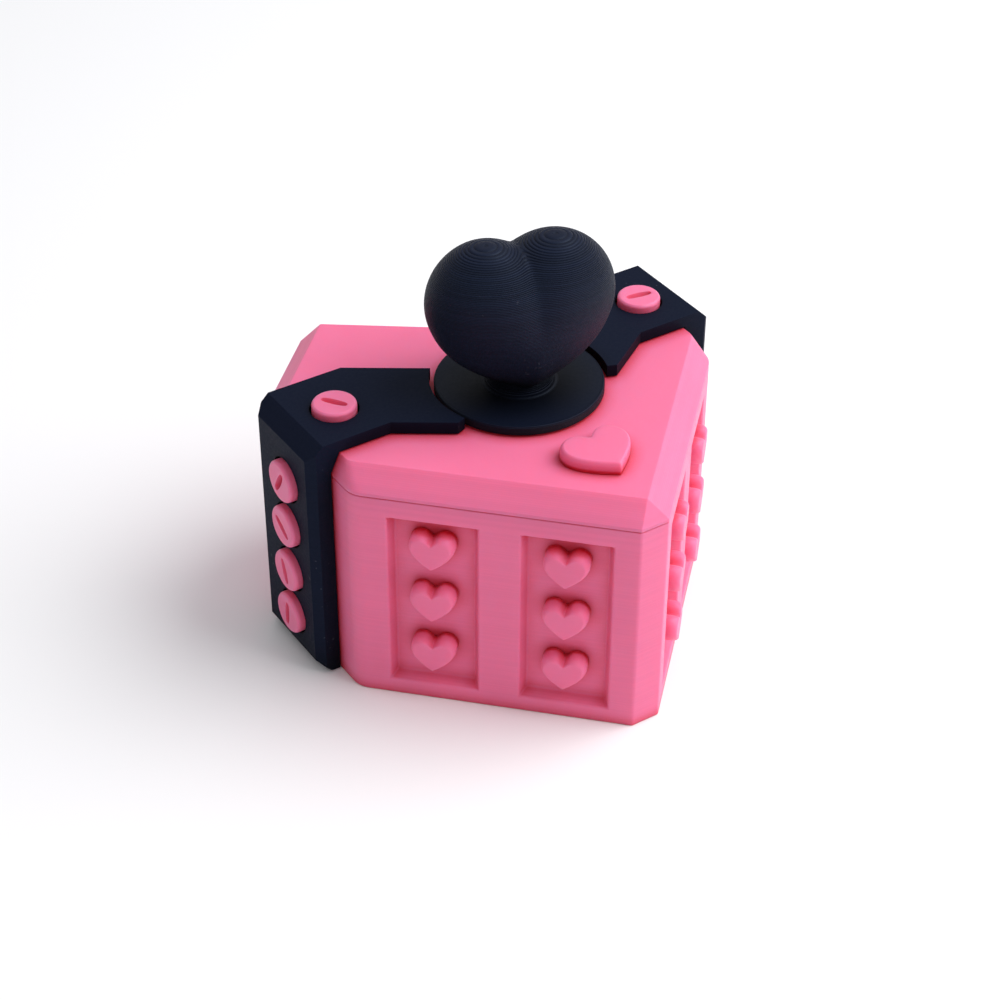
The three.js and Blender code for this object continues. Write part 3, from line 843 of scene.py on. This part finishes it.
def build_strap(side, sign):
    """The left strap, built in the heart frame; the right one is its mirror image."""
    back, front = FACET_MIDDLE - STRAP_BACK, FACET_MIDDLE + STRAP_FRONT
    under = HEIGHT + GAP
    bend = -(FACET_OFFSET - ARM_BEND_INSET)
    profile = [
        Vector(p)
        for p in (
            (-(COLUMN_FACE - FOOT_BEVEL), COLUMN_FOOT),
            (-(FACET_OFFSET + GAP), COLUMN_FOOT),
            (-(FACET_OFFSET + GAP), HEIGHT - CHAMFER_DOWN + GAP / 2),
            (-(FACET_OFFSET - FACET_CHAMFER_IN + GAP / 2), under),
            (bend - ARM_BEND_SKEW, under),
            (bend - ARM_BEND_SKEW, STRAP_TOP),
            (-(COLUMN_FACE - STRAP_BEVEL), STRAP_TOP),
            (-COLUMN_FACE, STRAP_TOP - STRAP_BEVEL),
            (-COLUMN_FACE, COLUMN_FOOT + FOOT_BEVEL),
        )
    ]
    across = basis(Vector((0, 1, 0)), Vector((0, 0, 1)), Vector((1, 0, 0)), Vector((0, 0, 0)))
    strap = moved(prism(f"strap_{side}_print", profile, back, front), across)
    plan = [
        Vector((back, 0)),
        Vector((back, -(COLUMN_FACE - SIDE_BEVEL))),
        Vector((back + SIDE_BEVEL, -COLUMN_FACE)),
        Vector((front - SIDE_BEVEL, -COLUMN_FACE)),
        Vector((front, -(COLUMN_FACE - SIDE_BEVEL))),
        Vector((front, 0)),
    ]
    combine(strap, prism("plan", plan, -OVERCUT, STRAP_TOP + OVERCUT), "INTERSECT")
    direction = Vector((math.sin(ARM_BEND), math.cos(ARM_BEND)))
    back_start = Vector((back, bend + ARM_BEND_SKEW))
    front_start = Vector((front, bend - ARM_BEND_SKEW))
    knob_x = -KNOB_CENTRE * math.sqrt(2)
    arm_outline = [
        Vector((back, bend - ARM_OVERLAP)),
        Vector((front, bend - ARM_OVERLAP)),
        front_start,
        front_start + direction * ARM_FRONT_REACH,
        Vector((knob_x, 0)),
        back_start + direction * ARM_BACK_REACH,
        back_start,
    ]
    arm = prism("arm", arm_outline, under, STRAP_TOP)
    ring = circle(FLANGE_RADIUS + ARC_CLEARANCE, KNOB_STEPS, (knob_x, 0.0))
    cut(arm, prism("flange_room", ring, HEIGHT - OVERCUT, STRAP_TOP + OVERCUT))
    combine(strap, arm, "UNION")
    to_heart = HEART_TURN.inverted()
    places = [to_heart @ place for place in bolt_places(-1)]
    shank_hole = circle(SHANK_RADIUS + GAP, SHANK_HOLE_STEPS)
    counterbore = circle(COUNTERBORE_RADIUS, HEAD_STEPS)
    cut(strap, *[moved(prism("shank", shank_hole, -SHANK_LENGTH, OVERCUT), p) for p in places])
    cut(strap, *[moved(prism("head", counterbore, -GAP, HEAD_HEIGHT + OVERCUT), p) for p in places])
    if sign > 0:
        strap.data.transform(Matrix.Scale(-1, 4, (0, 1, 0)))
        strap.data.flip_normals()
    tidy(strap)
    deliver(strap, black_strap, f"strap_{side}", "case", HEART_TURN, round_edge=STRAP_EDGE)


# ---- bolts ---------------------------------------------------------------------------------------


def threaded_shank(name, length):
    """A coarse rounded thread as one closed skin, from under the head down to a plain tip."""
    rows = round(THREAD_ROWS * length)
    core = SHANK_RADIUS - THREAD_DEPTH
    bm = bmesh.new()
    grid = []
    for k in range(rows + 1):
        height = -length + (length + SHANK_OVERLAP) * k / rows
        tip_fade = min(1.0, (height + length) / THREAD_TIP_FADE)
        head_fade = min(1.0, max(0.0, -height / THREAD_HEAD_FADE))
        ring = []
        for i in range(THREAD_STEPS):
            turn = 2 * math.pi * i / THREAD_STEPS
            phase = (height / THREAD_PITCH - i / THREAD_STEPS) % 1.0
            ridge = max(0.0, min(1.0, 1.5 - 3.0 * abs(phase - 0.5)))
            radius = core + THREAD_DEPTH * ridge * (tip_fade * head_fade)
            ring.append(bm.verts.new((radius * math.cos(turn), radius * math.sin(turn), height)))
        grid.append(ring)
    for lower, upper in zip(grid, grid[1:]):
        for i in range(THREAD_STEPS):
            j = (i + 1) % THREAD_STEPS
            bm.faces.new((lower[i], lower[j], upper[j], upper[i]))
    bm.faces.new(grid[0][::-1])
    bm.faces.new(grid[-1])
    return new_object(name, bm)


def slot_cutter():
    """A slot with rounded ends, whose floor is smaller than its mouth."""

    def ring(length, width):
        made = []
        for i in range(SLOT_STEPS):
            turn = 2 * math.pi * i / SLOT_STEPS
            across = math.copysign(abs(math.sin(turn)) ** SLOT_SQUARENESS, math.sin(turn))
            made.append(Vector((length * math.cos(turn), width * across)))
        return made

    mouth = ring(SLOT_HALF, SLOT_HALF_WIDTH)
    floor = ring(SLOT_HALF * SLOT_FLOOR[0], SLOT_HALF_WIDTH * SLOT_FLOOR[1])
    bottom = HEAD_HEIGHT - SLOT_DEPTH
    return loft("slot", [(floor, bottom), (mouth, HEAD_HEIGHT), (mouth, HEAD_HEIGHT + OVERCUT)])


def build_bolt(node, material, place, length):
    profile = [(0, 0), (HEAD_RADIUS - HEAD_FOOT_EDGE, 0), (HEAD_RADIUS, HEAD_FOOT_EDGE)]
    for k in range(HEAD_EDGE_STEPS + 1):
        turn = math.pi / 2 * k / HEAD_EDGE_STEPS
        radius = HEAD_RADIUS - HEAD_EDGE * (1 - math.cos(turn))
        profile.append((radius, HEAD_HEIGHT - HEAD_EDGE * (1 - math.sin(turn))))
    profile.append((0, HEAD_HEIGHT))
    head = lathe(f"{node}_print", profile, HEAD_STEPS)
    combine(head, threaded_shank("shank", length), "UNION")
    cut(head, slot_cutter())
    tidy(head)
    deliver(head, material, node, node, place, round_edge=BOLT_EDGE, steps=2, angle=40.0)


# ---- knob ----------------------------------------------------------------------------------------


def inside_heart(x, y, z):
    """The classic heart surface, reshaped by the notch, draw and taper above."""
    pull = (1.0 if z > 0 else HEART_TAPER) / (1 + HEART_DRAW * x * x)
    return (x * x + HEART_FLATTEN * y * y + z * z - 1) ** 3 < pull * (x * x + HEART_NOTCH) * z**3


def inflated_heart(name):
    """Finds the surface along rays from the middle, then stretches the heart to its size."""
    bm = bmesh.new()
    bmesh.ops.create_icosphere(bm, subdivisions=6, radius=1.0)
    for vert in bm.verts:
        ray = vert.co.normalized()
        near, far = HEART_SEARCH
        for _ in range(HEART_HALVINGS):
            middle = (near + far) / 2
            if inside_heart(*(ray * middle)):
                near = middle
            else:
                far = middle
        vert.co = ray * near
    low = [min(v.co[i] for v in bm.verts) for i in range(3)]
    high = [max(v.co[i] for v in bm.verts) for i in range(3)]
    size = (KNOB_HEART_WIDTH, KNOB_HEART_DEPTH, KNOB_HEART_HEIGHT)
    factors = [size[i] / (high[i] - low[i]) for i in range(3)]
    for vert in bm.verts:
        vert.co = Vector((vert.co.x * factors[0], vert.co.y * factors[1], (vert.co.z - low[2]) * factors[2]))
    return new_object(name, bm)


def build_knob():
    shank, bottom = KNOB_SHANK_RADIUS, -KNOB_SHANK_REACH - GAP
    profile = [
        (0, bottom),
        (shank - KNOB_SHANK_BEVEL, bottom),
        (shank, bottom + KNOB_SHANK_BEVEL),
        (shank, 0),
        (FLANGE_RADIUS - FLANGE_FOOT_EDGE, 0),
        (FLANGE_RADIUS, FLANGE_FOOT_EDGE),
        (FLANGE_RADIUS, FLANGE_THICK - FLANGE_EDGE),
        (FLANGE_RADIUS - FLANGE_EDGE_MIDDLE, FLANGE_THICK - FLANGE_EDGE_MIDDLE),
        (FLANGE_RADIUS - FLANGE_EDGE, FLANGE_THICK),
    ]
    for k in range(KNOB_FLARE_STEPS + 1):
        turn = math.pi / 2 * k / KNOB_FLARE_STEPS
        radius = KNOB_NECK_RADIUS + KNOB_FLARE * (1 - math.sin(turn))
        profile.append((radius, FLANGE_THICK + KNOB_FLARE * (1 - math.cos(turn))))
    neck_top = FLANGE_THICK + KNOB_NECK_HEIGHT
    profile += [(KNOB_NECK_RADIUS, neck_top), (0, neck_top)]
    stem = lathe("knob_print", profile, KNOB_STEPS)
    lift = Matrix.Translation((0, 0, FLANGE_THICK - KNOB_HEART_SINK))
    heart = moved(inflated_heart("heart"), lift @ Matrix.Rotation(KNOB_TURN, 4, "Z"))
    combine(stem, heart, "UNION")
    place = Matrix.Translation((-KNOB_CENTRE, KNOB_CENTRE, HEIGHT + GAP))
    deliver(stem, black_knob, "heart_knob", "knob", place)


build_body()
build_lid()
build_hearts()
for lobe, lobe_sign in LOBES.items():
    build_strap(lobe, lobe_sign)
    spot = top_bolt(lobe_sign, TOP_SLOT_ANGLES[lobe])
    build_bolt(f"bolt_{lobe}_top", bolt_materials["top"], spot, TOP_SHANK_LENGTH)
    for number, (bolt_height, slot_angle) in enumerate(zip(BOLT_HEIGHTS, SLOT_ANGLES[lobe]), 1):
        spot = column_bolt(lobe_sign, bolt_height, slot_angle)
        build_bolt(f"bolt_{lobe}_{number}", bolt_materials[lobe], spot, SHANK_LENGTH)
build_knob()
